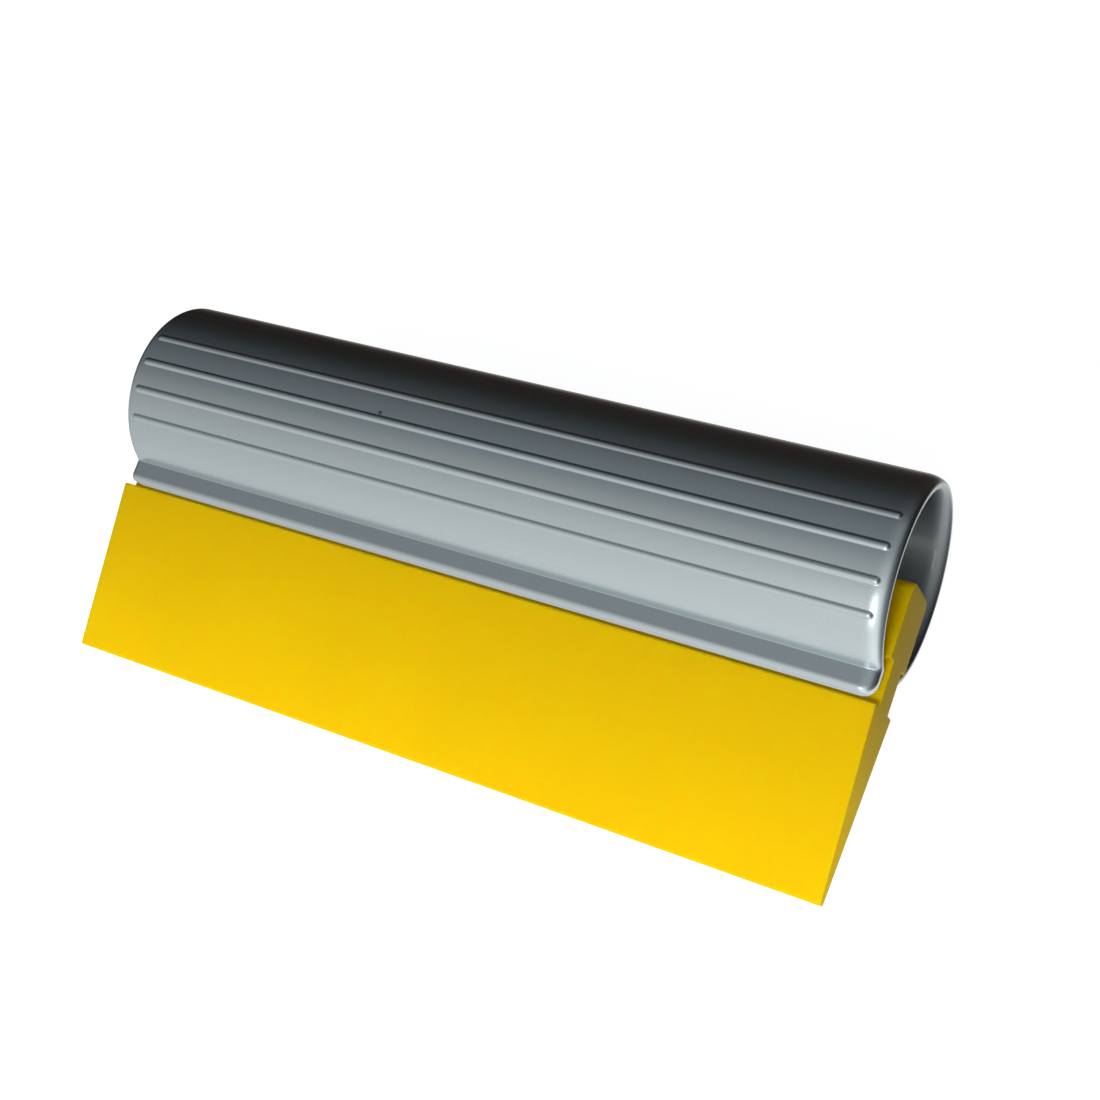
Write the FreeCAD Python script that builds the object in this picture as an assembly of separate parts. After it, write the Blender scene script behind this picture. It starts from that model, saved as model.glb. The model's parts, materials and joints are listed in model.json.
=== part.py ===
import FreeCAD, Part
import math
import os

# Squeegee applicator: a polyurethane blade held in the slot of a moulded grip tube.
# Both pieces are first drawn upright, with X along the tool, Z from the blade's
# working edge to the top of the grip, and Y through the thickness. They are then
# laid on their back, the way the tool lies on a bench.

# Driving dimensions: millimetres and degrees
blade_length = 140.0
handle_length = 138.6

tube_radius = 16.5            # outside of the grip tube
tube_wall = 2.5
tube_axis_height = 48.75      # above the working edge

edge_half = 0.9               # half thickness of the working edge
shoulder_half = 6.3           # half thickness at the widest place of the taper
shoulder_height = 29.4
head_half = 6.0
head_top = 48.0
neck_half = 3.5
slide_clearance = 0.1         # each side, between the neck and the lips

lip_gap = 0.7                 # from the blade's shoulder up to the lips
lip_half = 6.8                # from the middle plane to a lip's outer face
lip_corner_near = 2.4         # a lip's lower corner, seen from the front: right end
lip_corner_far = 1.2          # the same corner at the left end

rib_count = 4                 # on each side of the grip
rib_first_angle = 70.0        # from the top of the tube, about its axis
rib_pitch_angle = 17.6
rib_radius = 0.9
rib_height = 0.42             # how far a rib stands out of the tube
rib_end_gap = 1.6             # from a rib's tip to the tube's end

# Edge roundings
rim_radius = 1.1              # ends of the tube and lips, and a lip's lower outer edge
nose_radius = 0.4             # inner edges of the lips
waist_radius = 0.25           # crease between the tube and a lip
blade_edge_radius = 0.4       # working edge
shoulder_radius = 0.35
head_radius = 1.5             # top edges of the blade's head
head_foot_radius = 0.3        # lower edges of the blade's head
cut_radius = 0.15             # knife-cut ends of the blade

# Sizes that follow
inner_radius = tube_radius - tube_wall
slot_half = neck_half + slide_clearance
lip_bottom = shoulder_height + lip_gap
waist_height = tube_axis_height - math.sqrt(tube_radius**2 - lip_half**2)
slot_height = tube_axis_height - math.sqrt(inner_radius**2 - slot_half**2)
head_clearance = 0.2          # from the head's lower edges to the inside of the tube
head_reach = math.sqrt((inner_radius - head_clearance)**2 - head_half**2)
head_bottom = tube_axis_height - head_reach
rib_centre_radius = tube_radius + rib_height - rib_radius

lengthwise = FreeCAD.Vector(1, 0, 0)


def at(y, z, x=0.0):
    return FreeCAD.Vector(x, y, z)


def extrude(outline, length):
    """A straight bar with the given section, centred on the middle of the tool."""
    bar = Part.Face(Part.Wire(outline)).extrude(lengthwise * length)
    bar.translate(lengthwise * (-length / 2))
    return bar


def polygon(points):
    """Straight edges through the points and back to the first."""
    return [Part.makeLine(a, b) for a, b in zip(points, points[1:] + points[:1])]


def arc(start, middle, end):
    return Part.Arc(start, middle, end).toShape()


def long_edges(shape, y, z):
    """The edges along the tool that stand at (y, z) or at its mirror image."""
    found = []
    for edge in shape.Edges:
        start, end = edge.Vertexes[0].Point, edge.Vertexes[-1].Point
        along = abs(abs(end.x - start.x) - edge.Length) < 1e-6
        if along and math.hypot(abs(start.y) - y, start.z - z) < 1e-4:
            found.append(edge)
    return found


def end_edges(shape, length):
    """The edges that lie in the two end planes."""
    half = length / 2
    found = []
    for edge in shape.Edges:
        box = edge.BoundBox
        if box.XMin > half - 1e-4 or box.XMax < -half + 1e-4:
            found.append(edge)
    return found


def rib(angle):
    """A bar with domed ends, half sunk in the tube along its length."""
    reach = handle_length / 2 - rib_end_gap - rib_radius
    turn = math.radians(angle)
    y = rib_centre_radius * math.sin(turn)
    z = tube_axis_height + rib_centre_radius * math.cos(turn)
    bar = Part.makeCylinder(rib_radius, 2 * reach, at(y, z, -reach), lengthwise)
    domes = [Part.makeSphere(rib_radius, at(y, z, x)) for x in (-reach, reach)]
    return bar.fuse(domes)


def rib_angles():
    side = [rib_first_angle + rib_pitch_angle * number for number in range(rib_count)]
    return side + [-angle for angle in side]


def handle():
    """The grip: a tube open along its bottom, whose two lips run in the blade's grooves."""
    top_outside = at(0, tube_axis_height + tube_radius)
    top_inside = at(0, tube_axis_height + inner_radius)
    back_outline = [at(lip_half, waist_height), at(lip_half, lip_bottom)]
    back_outline += [at(slot_half, lip_bottom), at(slot_half, slot_height)]
    front_outline = [at(-point.y, point.z) for point in back_outline]
    outline = [arc(front_outline[0], top_outside, back_outline[0])]
    outline += polygon(back_outline)[:-1]
    outline += [arc(back_outline[-1], top_inside, front_outline[-1])]
    outline += polygon(front_outline)[:-1]
    shape = extrude(Part.__sortEdges__(outline), handle_length)

    shape = shape.makeFillet(waist_radius, long_edges(shape, lip_half, waist_height))
    for end, radius in ((1, lip_corner_near), (-1, lip_corner_far)):
        x = end * handle_length / 2
        corners = []
        for edge in shape.Edges:
            middle = edge.CenterOfMass
            across = abs(edge.BoundBox.YLength - edge.Length) < 1e-4
            if across and math.hypot(middle.x - x, middle.z - lip_bottom) < 1e-4:
                corners.append(edge)
        shape = shape.makeFillet(radius, corners)

    shape = shape.makeFillet(nose_radius, long_edges(shape, slot_half, slot_height))
    outer = end_edges(shape, handle_length) + long_edges(shape, lip_half, lip_bottom)
    shape = shape.makeFillet(rim_radius, outer)
    return shape.fuse([rib(angle) for angle in rib_angles()]).removeSplitter()


def blade():
    """The blade: a taper, two side grooves for the lips, and a head inside the tube."""
    back = [at(edge_half, 0), at(shoulder_half, shoulder_height)]
    back += [at(neck_half, shoulder_height), at(neck_half, head_bottom)]
    back += [at(head_half, head_bottom), at(head_half, head_top)]
    front = [at(-point.y, point.z) for point in reversed(back)]
    shape = extrude(polygon(back + front), blade_length)
    roundings = [
        (blade_edge_radius, edge_half, 0),
        (shoulder_radius, shoulder_half, shoulder_height),
        (head_foot_radius, head_half, head_bottom),
        (head_radius, head_half, head_top),
    ]
    for radius, y, z in roundings:
        shape = shape.makeFillet(radius, long_edges(shape, y, z))
    return shape.makeFillet(cut_radius, end_edges(shape, blade_length))


def resting_lean():
    """How far the tool leans, in degrees, when its back edge and a back rib share a plane.

    The plane is tangent to the rounded back corner of the working edge and to a rib,
    which are two circles in the section, and the rib that leans the tool furthest holds it.
    """
    taper = math.atan2(shoulder_half - edge_half, shoulder_height)
    corner_y = edge_half - blade_edge_radius * math.tan(math.pi / 4 - taper / 2)
    corner_z = blade_edge_radius
    leans = []
    for angle in rib_angles():
        turn = math.radians(angle)
        run = rib_centre_radius * math.sin(turn) - corner_y
        rise = tube_axis_height + rib_centre_radius * math.cos(turn) - corner_z
        grow = math.asin((rib_radius - blade_edge_radius) / math.hypot(run, rise))
        leans.append(math.degrees(math.atan2(run, rise) + grow))
    return max(leans)


pieces = {"handle": handle(), "blade": blade()}

lean = resting_lean()
for shape in pieces.values():
    shape.rotate(at(0, 0), lengthwise, lean - 90)

# The origin is under the middle of the tool, on the surface that it lies on
whole = Part.makeCompound(list(pieces.values())).optimalBoundingBox(False)
middle = FreeCAD.Vector(0, (whole.YMin + whole.YMax) / 2, whole.ZMin)
for shape in pieces.values():
    shape.translate(-middle)

os.makedirs("parts", exist_ok=True)
for name, shape in pieces.items():
    shape.exportStep(f"parts/{name}.step")
    box = shape.optimalBoundingBox(False)
    print(name, "valid", shape.isValid(), "solids", len(shape.Solids),
          "volume", round(shape.Volume, 1), "mm3, box",
          [round(value, 3) for value in (box.XMin, box.YMin, box.ZMin, box.XMax, box.YMax, box.ZMax)])

gap = pieces["handle"].distToShape(pieces["blade"])[0]
print("lean", round(lean, 3), "gap between the pieces", round(gap, 3))
print("middle of the tool's foot, from the working edge", round(middle.y, 3), round(middle.z, 3))
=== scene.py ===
import json
import math

import bpy
from mathutils import Matrix, Quaternion, Vector


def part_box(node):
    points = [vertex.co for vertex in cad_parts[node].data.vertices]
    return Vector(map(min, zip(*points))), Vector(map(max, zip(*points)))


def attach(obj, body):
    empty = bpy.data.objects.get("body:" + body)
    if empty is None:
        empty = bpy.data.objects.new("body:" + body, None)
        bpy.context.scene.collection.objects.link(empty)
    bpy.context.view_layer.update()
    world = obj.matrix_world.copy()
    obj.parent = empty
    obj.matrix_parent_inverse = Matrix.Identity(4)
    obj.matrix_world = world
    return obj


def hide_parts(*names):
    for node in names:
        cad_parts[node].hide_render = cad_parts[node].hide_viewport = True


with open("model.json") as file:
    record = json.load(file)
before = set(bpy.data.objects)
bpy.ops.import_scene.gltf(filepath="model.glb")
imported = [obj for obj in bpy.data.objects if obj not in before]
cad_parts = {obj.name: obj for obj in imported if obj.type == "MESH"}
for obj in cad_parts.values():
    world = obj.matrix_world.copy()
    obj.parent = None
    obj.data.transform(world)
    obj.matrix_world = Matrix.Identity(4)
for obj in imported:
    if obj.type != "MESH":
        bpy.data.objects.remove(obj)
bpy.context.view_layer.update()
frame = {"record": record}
scene = bpy.context.scene
scene.view_settings.view_transform = "Standard"

mm = 0.001
offTube = 9.0          # turn of a point that isn't on the tube's outside
largestTurn = 4.0      # radians, above every real turn and below offTube
indexNudge = 1e-4      # keeps a whole quotient from being floored to the number below it
weldReach = 2e-6       # metres
sharpestBend = 0.001   # millimetres

# The tool is drawn upright: X along it, Y through its thickness, Z up from the working edge.
# Its two mounts give the place of that drawing on the bench, in metres.
mounts = {mount["name"]: mount for mount in frame["record"]["mounts"]}
edgePoint = Vector(mounts["working_edge"]["pos_m"])
gripPoint = Vector(mounts["grip"]["pos_m"])
alongTool = Vector((1, 0, 0))
upTool = -Vector(mounts["working_edge"]["axis"])
backTool = upTool.cross(alongTool)
axisHeight = (gripPoint - edgePoint).dot(upTool)
axisPoint = edgePoint + upTool * axisHeight
toolTurn = Matrix((alongTool, backTool, upTool)).transposed().to_4x4()
drawingToBench = Matrix.Translation(edgePoint) @ toolTurn
handleLow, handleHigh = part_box("handle")
bladeLow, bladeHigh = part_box("blade")


class Wire:
    # One output of a node. Arithmetic on it adds Math nodes to its tree.
    def __init__(self, tree, socket=None):
        self.tree = tree
        self.socket = socket

    def node(self, kind, settings=None, values=None):
        made = self.tree.nodes.new(kind)
        for name, value in (settings or {}).items():
            if name == "stops":
                ramp = made.color_ramp
                while len(ramp.elements) < len(value):
                    ramp.elements.new(1)
                for stop, (place, colour) in zip(ramp.elements, value):
                    stop.position = place
                    stop.color = colour
            else:
                setattr(made, name, value)
        for name, value in (values or {}).items():
            into = next(s for s in made.inputs if name in (s.identifier, s.name) and s.enabled)
            if isinstance(value, Wire):
                self.tree.links.new(value.socket, into)
            else:
                into.default_value = value
        outs = [s for s in made.outputs if s.enabled]
        return Wire(self.tree, outs[0] if outs else None)

    def out(self, name):
        outs = self.socket.node.outputs
        return Wire(self.tree, next(s for s in outs if name in (s.identifier, s.name) and s.enabled))

    def math(self, operation, *others):
        values = {"Value": self}
        values.update(zip(("Value_001", "Value_002"), others))
        return self.node("ShaderNodeMath", {"operation": operation}, values)

    def flipped(self, operation, other):
        values = {"Value": other, "Value_001": self}
        return self.node("ShaderNodeMath", {"operation": operation}, values)

    def clamped(self):
        settings = {"operation": "ADD", "use_clamp": True}
        return self.node("ShaderNodeMath", settings, {"Value": self, "Value_001": 0.0})

    def smooth(self, low, high):
        # 0 below the low value, 1 above the high one, and an easy curve between
        values = {"Value": self, "From Min": low, "From Max": high}
        return self.node("ShaderNodeMapRange", {"interpolation_type": "SMOOTHSTEP"}, values)

    def __add__(self, other):
        return self.math("ADD", other)

    def __sub__(self, other):
        return self.math("SUBTRACT", other)

    def __rsub__(self, other):
        return self.flipped("SUBTRACT", other)

    def __mul__(self, other):
        return self.math("MULTIPLY", other)

    def __truediv__(self, other):
        return self.math("DIVIDE", other)

    def __rtruediv__(self, other):
        return self.flipped("DIVIDE", other)

    __radd__ = __add__
    __rmul__ = __mul__


# Sections are lists of (y, z) points in millimetres, from the working edge up, on the back side.
# A section is drawn again with an inset, and the ends of a piece shrink from one to the other.

def arcRun(centre, radius, start, end, steps):
    # Points on an arc. Angles are in degrees from +Y towards +Z.
    turns = [math.radians(start + (end - start) * n / steps) for n in range(steps + 1)]
    return [(centre[0] + radius * math.cos(t), centre[1] + radius * math.sin(t)) for t in turns]


def roundedPath(corners, inset, steps, hold):
    # A path through (y, z, radius) corners, moved into the solid by inset. Its ends are left out.
    places = [Vector(corner[:2]) for corner in corners]
    radii = [corner[2] for corner in corners]
    ways = [(b - a).normalized() for a, b in zip(places, places[1:])]
    path = []
    for place, radius, before, after in zip(places[1:], radii[1:], ways, ways[1:]):
        inBefore, inAfter = Vector((-before.y, before.x)), Vector((-after.y, after.x))
        corner = place + (inBefore + inAfter) * (inset / (1 + inBefore.dot(inAfter)))
        turn = before.angle_signed(after) * -1
        bend = max(radius - inset, sharpestBend) if turn > 0 else radius + inset
        reach = bend * math.tan(abs(turn) / 2)
        centre = corner - before * reach + (inBefore if turn > 0 else -inBefore) * bend
        start = (corner - before * reach) - centre
        path.append(corner - before * (reach + hold))
        for n in range(steps + 1):
            spin = Matrix.Rotation(turn * n / steps, 2)
            path.append(centre + spin @ start)
        path.append(corner + after * (reach + hold))
    return [(p[0], p[1]) for p in path]


grip = {
    "tubeRadius": 16.49,
    "wall": 2.5,
    "lipHalf": 6.8,
    "slotHalf": 3.6,
    "lipBottom": 30.1,
    "rimRadius": 1.1,          # ends of the tube and the lips' lower outer edges
    "nearRun": 2.8,            # how far from its +X end the tube starts to round over
    "farRun": 1.2,             # and from its -X end
    "waistRadius": 0.12,       # crease between tube and lip
    "noseRadius": 0.4,         # inner edges of the lips
    "lipEdgeRadius": 0.15,     # lips' lower inner edges
    "nearCorner": 2.4,         # lips' lower corners, +X end
    "farCorner": 1.2,          # and -X end
    "ribCount": 4,             # each side
    "ribFirst": 70.0,          # degrees from the top
    "ribPitch": 17.6,
    "ribRadius": 0.75,
    "ribHeight": 0.30,
    "ribEndGap": 1.6,
    "ribFoot": 0.25,           # softness where a rib meets the tube
    "endZone": 3.6,            # closely spaced stations at each end
    "endSteps": 34,
    "middleSteps": 12,
    "hold": 0.06,              # a point this far past each rounding keeps the flats flat
    "cornerSteps": 8,
    "coarseStep": 3.0,         # degrees round the tube
    "fineReach": 0.9,          # each side of a rib
    "fineStep": 0.06,
    "fineMargin": 0.5,         # degrees left free between coarse and fine places
}


def tubeShares():
    # Places round the tube from the lip (0) to the top (1), close together at the ribs.
    startTurn = 180 - waistTurn()
    ribs = [grip["ribFirst"] + grip["ribPitch"] * n for n in range(grip["ribCount"])]
    perMillimetre = math.degrees(1 / grip["tubeRadius"])
    reach = grip["fineReach"] * perMillimetre
    margin = reach + grip["fineMargin"]
    coarse = round(startTurn / grip["coarseStep"])
    turns = [startTurn * n / coarse for n in range(coarse + 1)]
    turns = [t for t in turns if all(abs(t - rib) > margin for rib in ribs)]
    fine = round(grip["fineReach"] / grip["fineStep"])
    for rib in ribs:
        turns += [rib + reach * n / fine for n in range(-fine, fine + 1)]
    edge = grip["hold"] * perMillimetre
    turns = [t for t in turns if t < startTurn - edge * 2] + [startTurn - edge]
    return [1 - t / startTurn for t in sorted(set(turns), reverse=True)]


def waistCentre():
    y = grip["lipHalf"] + grip["waistRadius"]
    return y, axisHeight / mm - math.sqrt((grip["tubeRadius"] + grip["waistRadius"]) ** 2 - y ** 2)


def waistTurn():
    # Degrees from straight down to the place where the crease runs into the tube
    y, z = waistCentre()
    return math.degrees(math.atan2(y, axisHeight / mm - z))


def gripOutside(inset):
    rim, hold, steps = grip["rimRadius"] - inset, grip["hold"], grip["cornerSteps"]
    y, bottom = grip["lipHalf"] - grip["rimRadius"], grip["lipBottom"]
    path = [(y - hold, bottom)] + arcRun((y, bottom + rim), rim, -90, 0, steps)
    waist, face = waistCentre(), grip["lipHalf"] - inset
    path += [(face, bottom + rim + hold), (face, waist[1] - hold)]
    path += arcRun(waist, grip["waistRadius"] + inset, 180, 90 + waistTurn(), steps)
    radius, startTurn = grip["tubeRadius"] - inset, 180 - waistTurn()
    turns = [math.radians(startTurn * (1 - share)) for share in tubeShares()]
    return path + [(radius * math.sin(t), axisHeight / mm + radius * math.cos(t)) for t in turns]


def gripInside(inset):
    hold, steps, bottom = grip["hold"], grip["cornerSteps"], grip["lipBottom"]
    edge, face = grip["lipEdgeRadius"], grip["slotHalf"] + inset
    path = [(face + edge + hold, bottom)]
    path += arcRun((face + edge, bottom + edge), edge, 270, 180, steps)
    radius = grip["tubeRadius"] - grip["wall"] + inset
    nose = max(grip["noseRadius"] - inset, 0.0)
    y = face + nose
    z = axisHeight / mm - math.sqrt((radius + nose) ** 2 - y ** 2)
    noseTurn = math.degrees(math.atan2(y, axisHeight / mm - z))
    path += [(face, bottom + edge + hold), (face, z - hold)]
    path += arcRun((y, z), nose, 180, 90 + noseTurn, steps)
    startTurn = 180 - noseTurn
    turns = [math.radians(startTurn * (1 - share)) for share in tubeShares()]
    return path + [(radius * math.sin(t), axisHeight / mm + radius * math.cos(t)) for t in turns]


blade = {
    "edgeHalf": 0.9,
    "edgeRadius": 0.4,
    "shoulderHalf": 6.3,
    "shoulderHeight": 29.4,
    "shoulderRadius": 0.35,
    "neckHalf": 3.5,
    "grooveRadius": 0.2,
    "headBottom": 36.2,
    "headHalf": 6.0,
    "headTop": 48.0,
    "headRadius": 1.5,
    "headFootRadius": 0.3,
    "endRadius": 0.15,
    "draft": 0.02,             # flats rise by this much, so that no two levels are equal
    "lowerCorner": 0.1,        # the loft asks for it, but no point of the blade lifts
    "endZone": 0.5,
    "endSteps": 12,
    "middleSteps": 60,
    "cornerSteps": 7,
    "hold": 0.05,
}


def bladeSide(inset):
    b = blade
    corners = [(0, 0, 0), (b["edgeHalf"], 0, b["edgeRadius"])]
    corners += [(b["shoulderHalf"], b["shoulderHeight"] - b["draft"], b["shoulderRadius"])]
    corners += [(b["neckHalf"], b["shoulderHeight"], b["grooveRadius"])]
    corners += [(b["neckHalf"], b["headBottom"], b["grooveRadius"])]
    corners += [(b["headHalf"], b["headBottom"] + b["draft"], b["headFootRadius"])]
    corners += [(b["headHalf"], b["headTop"] - b["draft"], b["headRadius"]), (0, b["headTop"], 0)]
    return roundedPath(corners, inset, b["cornerSteps"], b["hold"])


def sectionMesh(name, sides, insetSides, lifts, turns):
    # One closed loop of points, first side up and second side down, each with what moves it near the ends
    loop = list(sides[0]) + list(reversed(sides[1])) + [sides[0][0]]
    inner = list(insetSides[0]) + list(reversed(insetSides[1])) + [insetSides[0][0]]
    mesh = bpy.data.meshes.new(name)
    mesh.from_pydata([(0, y * mm, z * mm) for y, z in loop], [], [])
    shifts = [(0, (b[0] - a[0]) * mm, (b[1] - a[1]) * mm) for a, b in zip(loop, inner)]
    flatShifts = [value for shift in shifts for value in shift]
    mesh.attributes.new("shift", "FLOAT_VECTOR", "POINT").data.foreach_set("vector", flatShifts)
    mesh.attributes.new("lift", "FLOAT", "POINT").data.foreach_set("value", lifts)
    mesh.attributes.new("turn", "FLOAT", "POINT").data.foreach_set("value", turns)
    return mesh


def mirrored(side):
    return [(-y, z) for y, z in side]


def newTree(name, inputs):
    tree = bpy.data.node_groups.new(name, "GeometryNodeTree")
    tree.interface.new_socket("Geometry", in_out="INPUT", socket_type="NodeSocketGeometry")
    for label, kind in inputs.items():
        tree.interface.new_socket(label, in_out="INPUT", socket_type="NodeSocket" + kind)
    tree.interface.new_socket("Geometry", in_out="OUTPUT", socket_type="NodeSocketGeometry")
    return tree, Wire(tree).node("NodeGroupInput")


def finishTree(mesh, material):
    realized = mesh.node("GeometryNodeRealizeInstances", {}, {"Geometry": mesh})
    painted = realized.node("GeometryNodeSetMaterial", {}, {"Geometry": realized, "Material": material})
    painted.node("NodeGroupOutput", {}, {"Geometry": painted})


def sample(mesh, kind, value, index):
    values = {"Geometry": mesh, "Value": value, "Index": index}
    return mesh.node("GeometryNodeSampleIndex", {"data_type": kind, "domain": "POINT"}, values)


def named(wire, kind, name):
    return wire.node("GeometryNodeInputNamedAttribute", {"data_type": kind}, {"Name": name})


def vector(wire, operation, a, b):
    second = "Scale" if operation == "SCALE" else "Vector_001"
    return wire.node("ShaderNodeVectorMath", {"operation": operation}, {"Vector": a, second: b})


def store(mesh, name, value):
    settings = {"data_type": "FLOAT", "domain": "POINT"}
    values = {"Geometry": mesh, "Name": name, "Value": value}
    return mesh.node("GeometryNodeStoreNamedAttribute", settings, values)


def wholeQuotient(wire, divisor):
    return (wire / divisor + indexNudge).math("FLOOR")


def quarter(distance, radius):
    # How far a rounding of that radius stands back, at a distance from where it starts
    run = radius - distance.math("MINIMUM", radius)
    return radius - (radius * radius - run * run).math("MAXIMUM", 0.0).math("SQRT")


def endRoundedLoftTree():
    # A section swept along X. Its outline shrinks over the rounded ends, and its lower corners lift there.
    sizes = {"Length": "Float", "Near Run": "Float", "Far Run": "Float", "End Zone": "Float",
             "Near Corner": "Float", "Far Corner": "Float", "End Steps": "Int", "Middle Steps": "Int",
             "Material": "Material"}
    tree, given = newTree("End Rounded Loft", sizes)
    section = given.out("Geometry")
    half = given.out("Length") * 0.5
    sized = {"component": "MESH"}
    count = section.node("GeometryNodeAttributeDomainSize", sized, {"Geometry": section})
    steps = given.out("End Steps")
    last = steps * 2 + given.out("Middle Steps")
    stations = {"Size X": 1.0, "Size Y": 1.0, "Vertices X": last + 1, "Vertices Y": count}
    sheet = given.node("GeometryNodeMeshGrid", {}, stations)
    index = given.node("GeometryNodeInputIndex")
    station = wholeQuotient(index, count)
    around = index - station * count
    fromEnd = station.math("MINIMUM", last - station)
    side = (station * 2 - last).math("SIGN")
    bend = 1 - ((fromEnd / steps).math("MINIMUM", 1.0) * (math.pi / 2)).math("COSINE")
    beyond = (fromEnd - steps).math("MAXIMUM", 0.0) / (given.out("Middle Steps") * 0.5)
    zone = given.out("End Zone")
    depth = zone * bend + beyond * (half - zone)
    position = sample(section, "FLOAT_VECTOR", given.node("GeometryNodeInputPosition"), around)
    shift = sample(section, "FLOAT_VECTOR", named(given, "FLOAT_VECTOR", "shift"), around)
    lift = sample(section, "FLOAT", named(given, "FLOAT", "lift"), around)
    turn = sample(section, "FLOAT", named(given, "FLOAT", "turn"), around)
    isNear = side.math("GREATER_THAN", 0.0)
    run = given.out("Near Run") * isNear + given.out("Far Run") * (1 - isNear)
    share = quarter(depth, run) / run
    near, far = quarter(depth, given.out("Near Corner")), quarter(depth, given.out("Far Corner"))
    raised = lift * (near * isNear + far * (1 - isNear))
    moved = vector(given, "ADD", position, vector(given, "SCALE", shift, share))
    place = given.node("ShaderNodeCombineXYZ", {}, {"X": side * (half - depth), "Z": raised})
    place = vector(given, "ADD", moved, place)
    sweep = given.node("GeometryNodeSetPosition", {}, {"Geometry": sheet, "Position": place})
    sweep = store(sweep, "turn", turn)
    rows = (count - 1) / 2          # of a lid, which is two columns of points
    pieces = [sweep]
    for end in (0, 1):
        lidSizes = {"Size X": 1.0, "Size Y": 1.0, "Vertices X": 2, "Vertices Y": rows}
        lid = given.node("GeometryNodeMeshGrid", {}, lidSizes)
        column = wholeQuotient(index, rows)
        row = index - column * rows
        onLoop = row + column * (rows * 2 - 1 - row * 2)
        position = given.node("GeometryNodeInputPosition")
        spot = sample(sweep, "FLOAT_VECTOR", position, onLoop + last * count * end)
        lid = given.node("GeometryNodeSetPosition", {}, {"Geometry": lid, "Position": spot})
        lid = store(lid, "turn", offTube)
        if not end:
            lid = given.node("GeometryNodeFlipFaces", {}, {"Mesh": lid})
        pieces.append(lid)
    join = tree.nodes.new("GeometryNodeJoinGeometry")
    for piece in pieces:
        tree.links.new(piece.socket, join.inputs[0])
    whole = Wire(tree, join.outputs[0])
    whole = given.node("GeometryNodeMergeByDistance", {}, {"Geometry": whole, "Distance": weldReach})
    whole = given.node("GeometryNodeSetShadeSmooth", {}, {"Geometry": whole, "Shade Smooth": True})
    finishTree(whole, given.out("Material"))
    return tree


def gripRibsTree():
    # Round-backed ribs, raised on the tube where a point's turn from the top falls in the row of ribs
    sizes = {"First Rib": "Float", "Rib Pitch": "Float", "Rib Count": "Int", "Rib Radius": "Float",
             "Rib Height": "Float", "Rib Reach": "Float", "Foot": "Float", "Tube Radius": "Float",
             "Material": "Material"}
    tree, given = newTree("Grip Ribs", sizes)
    turn = named(given, "FLOAT", "turn")
    pitch, first, radius = given.out("Rib Pitch"), given.out("First Rib"), given.out("Rib Radius")
    rank = ((turn.math("ABSOLUTE") - first) / pitch).math("ROUND")
    rank = rank.math("MAXIMUM", 0.0).math("MINIMUM", given.out("Rib Count") - 1)
    across = (turn.math("ABSOLUTE") - first - rank * pitch) * given.out("Tube Radius")
    x = given.node("ShaderNodeSeparateXYZ", {}, {"Vector": given.node("GeometryNodeInputPosition")})
    past = (x.math("ABSOLUTE") - given.out("Rib Reach")).math("MAXIMUM", 0.0)
    dome = (radius * radius - across * across - past * past).math("MAXIMUM", 0.0).math("SQRT")
    sunk = radius - given.out("Rib Height")
    height = (dome - sunk).math("SMOOTH_MAX", 0.0, given.out("Foot"))
    raised = {"Y": turn.math("SINE") * height, "Z": turn.math("COSINE") * height}
    onTube = turn.math("ABSOLUTE").math("LESS_THAN", largestTurn)
    offset = vector(given, "SCALE", given.node("ShaderNodeCombineXYZ", {}, raised), onTube)
    moved = {"Geometry": given.out("Geometry"), "Offset": offset}
    ribbed = given.node("GeometryNodeSetPosition", {}, moved)
    finishTree(ribbed, given.out("Material"))
    return tree


def addTree(piece, tree, values):
    modifier = piece.modifiers.new(tree.name, "NODES")
    modifier.node_group = tree
    for item in tree.interface.items_tree:
        if item.in_out == "INPUT" and item.name in values:
            modifier[item.identifier] = values[item.name]


def bakePiece(piece):
    bpy.context.view_layer.update()
    evaluated = piece.evaluated_get(bpy.context.evaluated_depsgraph_get())
    mesh = bpy.data.meshes.new_from_object(evaluated)
    piece.modifiers.clear()
    mesh.transform(drawingToBench)
    piece.data = mesh
    print(piece.name, "points", len(mesh.vertices), "faces", len(mesh.polygons))


def newPiece(name, mesh):
    piece = bpy.data.objects.new(name, mesh)
    scene.collection.objects.link(piece)
    return piece


def newMaterial(name):
    material = bpy.data.materials.new(name)
    material.use_nodes = True
    material.node_tree.nodes.clear()
    return material, Wire(material.node_tree)


def mixed(start, factor, low, high):
    # A colour between low and high
    values = {"Factor_Float": factor, "A_Color": low, "B_Color": high}
    return start.node("ShaderNodeMix", {"data_type": "RGBA"}, values).out("Result_Color")


def noise(start, point, scale, detail):
    return start.node("ShaderNodeTexNoise", {}, {"Vector": point, "Scale": scale, "Detail": detail})


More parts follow.
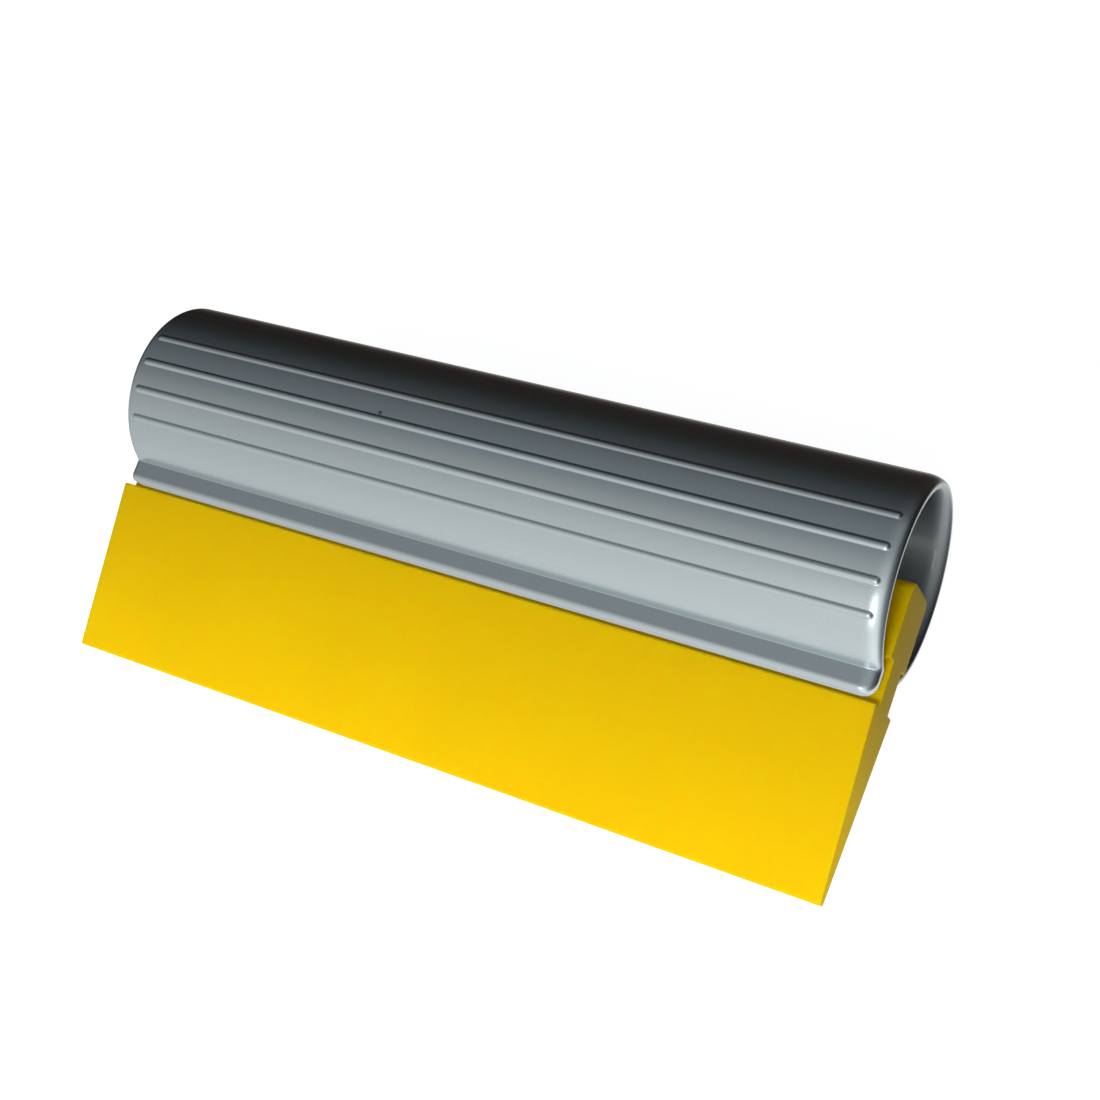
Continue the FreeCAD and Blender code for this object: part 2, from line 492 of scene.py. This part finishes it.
silverFinish = {
    "tone": (0.53, 0.60, 0.615, 1),
    "metal": 0.95,
    "coat": 0.5,
    "coatRoughness": 0.06,
    "drawnOut": 0.012,                     # a smaller share makes the lines longer along the tool
    "lines": (1400.0, 3.0),                # each pattern has a scale and a detail
    "wideLines": (260.0, 2.0),
    "cloud": (55.0, 4.0),
    "skin": (380.0, 2.0),
    "grain": (5200.0, 1.0),
    "streakTone": (0.60, 0.66, 0.67, 1),
    "streakLines": (0.62, 0.74),           # lines and clouds between these values turn into streaks
    "streakClouds": (0.45, 0.62),
    "streakShare": 0.5,
    "flakeGrain": (0.35, 0.75),
    "flakeShare": 0.10,
    "speckTone": (0.06, 0.065, 0.07, 1),
    "speckCell": 0.011,                    # metres between possible specks
    "speckSize": (0.0275, 0.055),          # of a cell, the dark middle and the edge
    "speckShare": 0.40,
    # painted shade: a darker tone for the inside of the tube
    "boreShadeTone": (0.24, 0.27, 0.275, 1),
    "insideRadius": (0.0142, 0.0158),      # the wall turns from the bore's painted shade and matt finish to the outside finish between these
    "roughness": 0.21,
    "cloudRoughness": 0.07,
    "lineRoughness": 0.05,
    "speckRoughness": 0.3,
    "insideRoughness": 0.20,
    "skinHeight": 0.35,
    "lineHeight": 0.3,
    "wideLineHeight": 0.5,
    "speckDepth": 0.8,
    "bumpStrength": 0.035,
    "bumpDistance": 0.0004,
}


def silverGrey():
    finish = silverFinish
    material, start = newMaterial("silverGreyPlastic")
    point = start.node("ShaderNodeTexCoord").out("Object")
    stretch = (finish["drawnOut"], 1.0, 1.0)
    drawn = start.node("ShaderNodeMapping", {}, {"Vector": point, "Scale": stretch})
    lines = noise(start, drawn, *finish["lines"])
    wideLines = noise(start, drawn, *finish["wideLines"])
    cloud = noise(start, point, *finish["cloud"])
    skin = noise(start, point, *finish["skin"])
    grain = noise(start, point, *finish["grain"])

    # A speck sits in the middle of some cells, picked by the cell's own random colour
    cells = start.node("ShaderNodeTexVoronoi", {}, {"Vector": point, "Scale": 1 / finish["speckCell"]})
    lot = start.node("ShaderNodeSeparateXYZ", {}, {"Vector": cells.out("Color")})
    picked = lot.math("LESS_THAN", finish["speckShare"])
    speck = (1 - cells.smooth(*finish["speckSize"])) * picked
    streak = lines.smooth(*finish["streakLines"]) * cloud.smooth(*finish["streakClouds"])
    flake = grain.smooth(*finish["flakeGrain"]) * finish["flakeShare"]
    pale = (streak * finish["streakShare"] + flake).clamped()

    # The bore's tone is darkened with painted shade, and the bore is more matt than the outside
    place = start.node("ShaderNodeSeparateXYZ", {}, {"Vector": point})
    off, above = place.out("Y") - axisPoint.y, place.out("Z") - axisPoint.z
    inner = 1 - (off * off + above * above).math("SQRT").smooth(*finish["insideRadius"])

    tone = mixed(start, pale, finish["tone"], finish["streakTone"])
    tone = mixed(start, speck, tone, finish["speckTone"])
    # painted shade darkens the tone inside the bore
    tone = mixed(start, inner, tone, finish["boreShadeTone"])
    rough = finish["roughness"] + cloud * finish["cloudRoughness"] + lines * finish["lineRoughness"]
    rough = rough + speck * finish["speckRoughness"] + inner * finish["insideRoughness"]
    height = skin * finish["skinHeight"] + lines * finish["lineHeight"]
    height = height + wideLines * finish["wideLineHeight"] - speck * finish["speckDepth"]
    relief = {"Strength": finish["bumpStrength"], "Distance": finish["bumpDistance"], "Height": height}
    shader = start.node("ShaderNodeBsdfPrincipled", {}, {
        "Base Color": tone, "Metallic": finish["metal"], "Roughness": rough,
        "Normal": start.node("ShaderNodeBump", {}, relief),
        "Coat Weight": finish["coat"], "Coat Roughness": finish["coatRoughness"]})
    start.node("ShaderNodeOutputMaterial", {}, {"Surface": shader})
    return material


urethaneFinish = {
    "tone": (0.89, 0.575, 0.0012, 1),
    "deepTone": (0.865, 0.563, 0.0012, 1),
    "roughness": 0.5,
    "specular": 0.05,
    "cloud": (40.0, 4.0),                  # scale and detail
    "cloudEdges": (0.35, 0.65),
    "skin": (700.0, 3.0),
    "bumpStrength": 0.08,
    "bumpDistance": 0.0003,
    "glowWeight": 0.5,                     # light that travels under the surface
    "glowColours": (1.0, 0.45, 0.05),      # red goes furthest
    "glowReach": 0.003,
}


def yellowUrethane():
    finish = urethaneFinish
    material, start = newMaterial("yellowUrethane")
    point = start.node("ShaderNodeTexCoord").out("Object")
    cloud = noise(start, point, *finish["cloud"]).smooth(*finish["cloudEdges"])
    skin = noise(start, point, *finish["skin"])
    relief = {"Strength": finish["bumpStrength"], "Distance": finish["bumpDistance"], "Height": skin}
    shader = start.node("ShaderNodeBsdfPrincipled", {}, {
        "Base Color": mixed(start, cloud, finish["tone"], finish["deepTone"]),
        "Roughness": finish["roughness"], "Normal": start.node("ShaderNodeBump", {}, relief),
        "Specular IOR Level": finish["specular"], "Subsurface Weight": finish["glowWeight"],
        "Subsurface Radius": finish["glowColours"], "Subsurface Scale": finish["glowReach"]})
    start.node("ShaderNodeOutputMaterial", {}, {"Surface": shader})
    return material


floorFinish = {
    "size": 6.0,
    "tone": (0.42, 0.42, 0.42, 1),
    "roughness": 0.9,
    "glow": 0.90,                          # keeps the floor near white under the soft light
}


def paleFloor():
    finish = floorFinish
    material, start = newMaterial("paleFloor")
    shader = start.node("ShaderNodeBsdfPrincipled", {}, {
        "Base Color": finish["tone"], "Roughness": finish["roughness"],
        "Emission Color": (1, 1, 1, 1), "Emission Strength": finish["glow"]})
    start.node("ShaderNodeOutputMaterial", {}, {"Surface": shader})
    return material


loftTree = endRoundedLoftTree()
ribsTree = gripRibsTree()
greyMaterial = silverGrey()
yellowMaterial = yellowUrethane()

outside, inside = gripOutside(0), gripInside(0)
rimmedOutside, rimmedInside = gripOutside(grip["rimRadius"]), gripInside(grip["rimRadius"])
sideCount = len(outside)
tubeStart = sideCount - len(tubeShares())
lipPoints = grip["cornerSteps"] + 3     # the lip's bottom, its corner and the foot of its face
halfLifts = [1.0 if n < lipPoints else 0.0 for n in range(sideCount)]
startTurn = math.radians(180 - waistTurn())
halfTurns = [offTube] * tubeStart + [startTurn * (1 - share) for share in tubeShares()]


def overTop(side):
    # A side path up the front, over the top and down the back
    return mirrored(side) + list(reversed(side))[1:]


def overTopTurns(halfTurns):
    # Turns are negative on the front side
    front = [t if t > largestTurn else -t for t in halfTurns]
    return front + list(reversed(halfTurns))[1:]


lifts = halfLifts + list(reversed(halfLifts))[1:]
turns = overTopTurns(halfTurns)
gripMesh = sectionMesh(
    "gripSection",
    (overTop(outside), overTop(inside)),
    (overTop(rimmedOutside), overTop(rimmedInside)),
    lifts + lifts + lifts[:1],
    turns + [offTube] * (len(turns) + 1))
gripTube = newPiece("gripTube", gripMesh)
gripLength = handleHigh.x - handleLow.x
addTree(gripTube, loftTree, {
    "Length": gripLength, "End Zone": grip["endZone"] * mm,
    "Near Run": grip["nearRun"] * mm, "Far Run": grip["farRun"] * mm,
    "Near Corner": grip["nearCorner"] * mm, "Far Corner": grip["farCorner"] * mm,
    "End Steps": grip["endSteps"], "Middle Steps": grip["middleSteps"], "Material": greyMaterial})
addTree(gripTube, ribsTree, {
    "First Rib": math.radians(grip["ribFirst"]), "Rib Pitch": math.radians(grip["ribPitch"]),
    "Rib Count": grip["ribCount"], "Rib Radius": grip["ribRadius"] * mm,
    "Rib Height": grip["ribHeight"] * mm,
    "Rib Reach": gripLength / 2 - (grip["ribEndGap"] + grip["ribRadius"]) * mm,
    "Foot": grip["ribFoot"] * mm, "Tube Radius": grip["tubeRadius"] * mm, "Material": greyMaterial})
bakePiece(gripTube)
print("grip tube made")

side, rimmedSide = bladeSide(0), bladeSide(blade["endRadius"])
bladePoints = 2 * len(side) + 1
bladeMesh = sectionMesh(
    "bladeSection", (mirrored(side), side), (mirrored(rimmedSide), rimmedSide),
    [0.0] * bladePoints, [offTube] * bladePoints)
bladeBar = newPiece("bladeBar", bladeMesh)
addTree(bladeBar, loftTree, {
    "Length": bladeHigh.x - bladeLow.x, "End Zone": blade["endZone"] * mm,
    "Near Run": blade["endRadius"] * mm, "Far Run": blade["endRadius"] * mm,
    "Near Corner": blade["lowerCorner"] * mm, "Far Corner": blade["lowerCorner"] * mm,
    "End Steps": blade["endSteps"], "Middle Steps": blade["middleSteps"], "Material": yellowMaterial})
bakePiece(bladeBar)
print("blade bar made")

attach(gripTube, "handle")
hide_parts("handle")
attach(bladeBar, "blade")
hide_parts("blade")
bladeBar.visible_glossy = False     # the grip shows a clean silver foot, with no yellow cast

floorReach = floorFinish["size"] / 2
floorCorners = [(x * floorReach, y * floorReach, 0) for x, y in ((-1, -1), (1, -1), (1, 1), (-1, 1))]
floorMesh = bpy.data.meshes.new("floor")
floorMesh.from_pydata(floorCorners, [], [(0, 1, 2, 3)])
floor = newPiece("floor", floorMesh)
floorMesh.materials.append(paleFloor())
floor.visible_glossy = False
floor.visible_diffuse = False

# Each lamp stands at a distance from its aim, on the side that way points to
lamps = {
    "keyStrip": {                          # brightens the face of the blade towards its working edge
        "way": (0.06, -0.58, 0.81), "aim": (0.0, -0.052, 0.0), "distance": 0.35,
        "size": (0.45, 0.04), "spread": 26.0, "power": 0.097},
    "endLamp": {                           # the same on the blade's +X end
        "way": (1.0, 0.0, 0.12), "aim": (bladeHigh.x, edgePoint.y, edgePoint.z), "distance": 0.15,
        "size": (0.02, 0.02), "spread": 26.0, "power": 0.0018},
    "glintBox": {                          # the small hot reflection on the grip's rounded end
        "way": (0.12, -0.92, 0.39), "aim": gripPoint, "distance": 0.9,
        "size": (0.14, 0.42), "spread": 180.0, "power": 0.8, "onlyShine": True},
}


def aimed(place, aim, roll=0.0):
    look = (Vector(aim) - Vector(place)).to_track_quat("-Z", "Y")
    turned = look @ Quaternion((0, 0, 1), math.radians(roll))
    return Matrix.Translation(place) @ turned.to_matrix().to_4x4()


def softbox(name, way, aim, distance, size, spread, power, onlyShine=False):
    light = bpy.data.lights.new(name, "AREA")
    light.shape = "RECTANGLE"
    light.size, light.size_y = size
    light.spread = math.radians(spread)
    light.energy = power
    lamp = bpy.data.objects.new(name, light)
    place = Vector(aim) + Vector(way).normalized() * distance
    lamp.matrix_world = aimed(place, aim)
    lamp.visible_glossy, lamp.visible_diffuse = onlyShine, not onlyShine
    lamp.visible_camera = False
    scene.collection.objects.link(lamp)


for name, lamp in lamps.items():
    softbox(name, **lamp)

world = bpy.data.worlds.new("studio")
world.use_nodes = True
world.node_tree.nodes.clear()
scene.world = world
start = Wire(world.node_tree)
way = start.node("ShaderNodeSeparateXYZ", {}, {"Vector": start.node("ShaderNodeTexCoord")})
skyTurn = way.out("Z").math("ARCTAN2", way.out("Y")) / (2 * math.pi)
skyTurn = skyTurn + skyTurn.math("LESS_THAN", 0.0)


def grey(level, tint=(1, 1, 1)):
    return tuple(level * t for t in tint) + (1,)


warm, cool = (1.4, 1.0, 0.8), (0.93, 1.0, 1.08)
studio = {
    "skyPower": 1.5,
    "skyStops": [                          # 0 is the back, 0.25 up, 0.5 the front and 0.75 down
        (0.000, grey(0.012, warm)), (0.050, grey(0.012, warm)), (0.085, grey(0.03)),
        (0.105, grey(0.05, cool)), (0.142, grey(0.055, cool)), (0.170, grey(0.19, cool)),
        (0.208, grey(0.225, cool)), (0.244, grey(0.25, cool)), (0.278, grey(0.33, cool)),
        (0.314, grey(0.46)), (0.339, grey(0.50)), (0.367, grey(0.65)), (0.425, grey(0.76)),
        (0.464, grey(0.85)), (0.547, grey(0.96)), (0.600, grey(1.0)), (0.700, grey(0.8)),
        (0.850, grey(0.6)), (0.890, grey(0.35)), (0.915, grey(0.05, warm)), (0.960, grey(0.015, warm))],
    "acrossStops": [                       # 0 is the -X side and 1 the +X side
        (0.0, grey(0.40)), (0.20, grey(0.52)), (0.36, grey(0.667)), (0.46, grey(0.70)),
        (0.58, grey(0.96)), (0.70, grey(0.90)), (0.82, grey(0.25)), (1.0, grey(0.08))],
    "background": grey(1.0),
    "cameraPlace": (0.12181, -0.11040, 0.21924),
    "cameraAim": (0.01242, 0.00400, 0.01700),
    "cameraRoll": -21.48,
    "lens": 52.79,
    "sensorWidth": 36,
    "nearestSeen": 0.01,
}
sky = start.node("ShaderNodeValToRGB", {"stops": studio["skyStops"]}, {"Fac": skyTurn})
acrossPlace = way.out("X") * 0.5 + 0.5
across = start.node("ShaderNodeValToRGB", {"stops": studio["acrossStops"]}, {"Fac": acrossPlace})
sky = start.node("ShaderNodeMix", {"data_type": "RGBA", "blend_type": "MULTIPLY"},
                 {"Factor_Float": 1.0, "A_Color": sky, "B_Color": across}).out("Result_Color")
shown = start.node("ShaderNodeBackground", {}, {"Color": studio["background"], "Strength": 1.0})
lit = start.node("ShaderNodeBackground", {}, {"Color": sky, "Strength": studio["skyPower"]})
seen = start.node("ShaderNodeLightPath").out("Is Camera Ray")
both = start.node("ShaderNodeMixShader", {}, {"Fac": seen, "Shader": lit, "Shader_001": shown})
start.node("ShaderNodeOutputWorld", {}, {"Surface": both})

lens = bpy.data.cameras.new("camera")
lens.sensor_width = studio["sensorWidth"]
lens.lens = studio["lens"]
lens.clip_start = studio["nearestSeen"]
camera = bpy.data.objects.new("camera", lens)
camera.matrix_world = aimed(studio["cameraPlace"], studio["cameraAim"], studio["cameraRoll"])
scene.collection.objects.link(camera)
scene.camera = camera
print("studio made")
